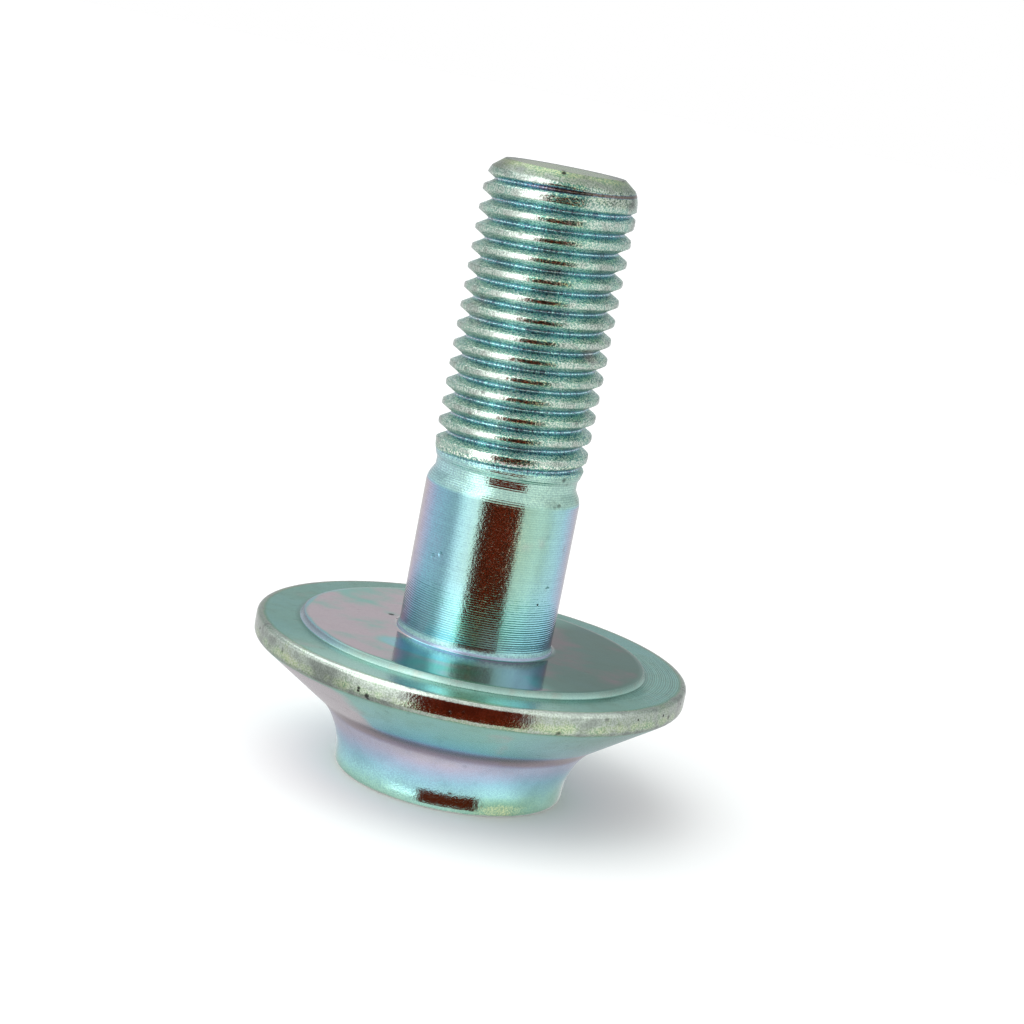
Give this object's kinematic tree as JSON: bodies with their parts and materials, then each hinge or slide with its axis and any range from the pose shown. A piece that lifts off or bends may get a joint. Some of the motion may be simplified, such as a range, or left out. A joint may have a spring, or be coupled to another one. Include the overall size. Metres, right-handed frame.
{
  "type": "swing arm bolt",
  "caption": "Flanged bolt with a round trumpet-shaped head, raised flat seat, plain shank, relieved neck and fine metric thread; a hexagon socket in the head drives it.",
  "frame": {"origin": "centre of the head's end face, on the bolt's axis", "axes": "+Z runs along the bolt's axis from the head to the threaded end; X and Y are alike apart from the thread's turn and the socket, whose corners lie on X"},
  "size_m": [0.034, 0.034, 0.0484],
  "materials": {
    "plated_steel": "turned and rolled steel with a glossy zinc plating that shimmers from teal to lilac and pale yellow"
  },
  "bodies": {
    "root": {"swing_arm_bolt": "plated_steel"}
  },
  "joints": []
}
